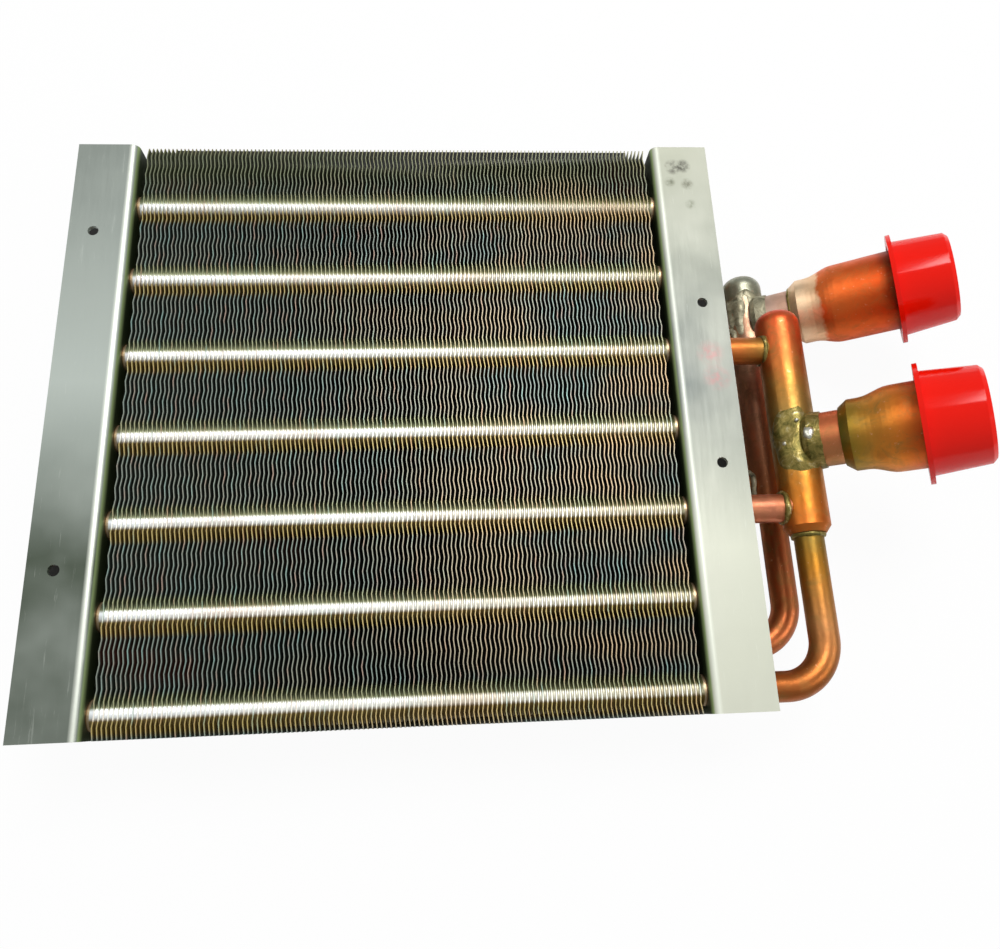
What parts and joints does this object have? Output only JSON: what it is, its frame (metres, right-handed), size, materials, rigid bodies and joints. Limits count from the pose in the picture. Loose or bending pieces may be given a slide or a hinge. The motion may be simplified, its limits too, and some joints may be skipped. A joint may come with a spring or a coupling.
{
  "type": "heater core",
  "caption": "Flat tube-and-fin heater core between two folded end plates, with two headers and capped hose ends tilted up at one side.",
  "frame": {"origin": "on the plane that the back flanges rest on, below the middle of the fin pack", "axes": "+X along the core tubes towards the hose ends, +Y along the fins towards the edge nearest the outlet, +Z out of the front face"},
  "size_m": [0.3502, 0.2222, 0.0847],
  "materials": {
    "end_plate": "mill finish sheet, scratched",
    "fin": "thin bare sheet, warm tarnish",
    "core_copper": "bare copper tube",
    "inlet_copper": "bare copper, heat tinted",
    "outlet_copper": "bare copper, heat tinted and dull",
    "braze": "lumpy braze metal, oxidised",
    "cap": "smooth glossy plastic"
  },
  "bodies": {
    "root": {"left_end_plate": "end_plate", "right_end_plate": "end_plate", "left_fins": "fin", "right_fins": "fin", "front_tube_1": "core_copper", "front_tube_2": "core_copper", "front_tube_3": "core_copper", "front_tube_4": "core_copper", "front_tube_5": "core_copper", "front_tube_6": "core_copper", "front_tube_7": "core_copper", "rear_tube_1": "core_copper", "rear_tube_2": "core_copper", "rear_tube_3": "core_copper", "rear_tube_4": "core_copper", "rear_tube_5": "core_copper", "rear_tube_6": "core_copper", "rear_tube_7": "core_copper", "left_bend_1": "core_copper", "left_bend_2": "core_copper", "left_bend_3": "core_copper", "left_bend_4": "core_copper", "left_bend_5": "core_copper", "left_bend_6": "core_copper", "left_bend_7": "core_copper", "right_bend_1": "core_copper", "right_bend_2": "core_copper", "right_bend_3": "core_copper", "right_bend_4": "core_copper", "inlet_header": "inlet_copper", "outlet_header": "outlet_copper", "inlet_stub_1": "inlet_copper", "inlet_stub_2": "inlet_copper", "outlet_stub_1": "outlet_copper", "outlet_stub_2": "outlet_copper", "inlet_crossover": "inlet_copper", "outlet_crossover": "outlet_copper", "inlet_pipe": "inlet_copper", "outlet_pipe": "outlet_copper", "inlet_braze": "braze", "outlet_braze": "braze", "inlet_coupling": "inlet_copper", "outlet_coupling": "outlet_copper", "inlet_cap": "cap", "outlet_cap": "cap"}
  },
  "joints": []
}
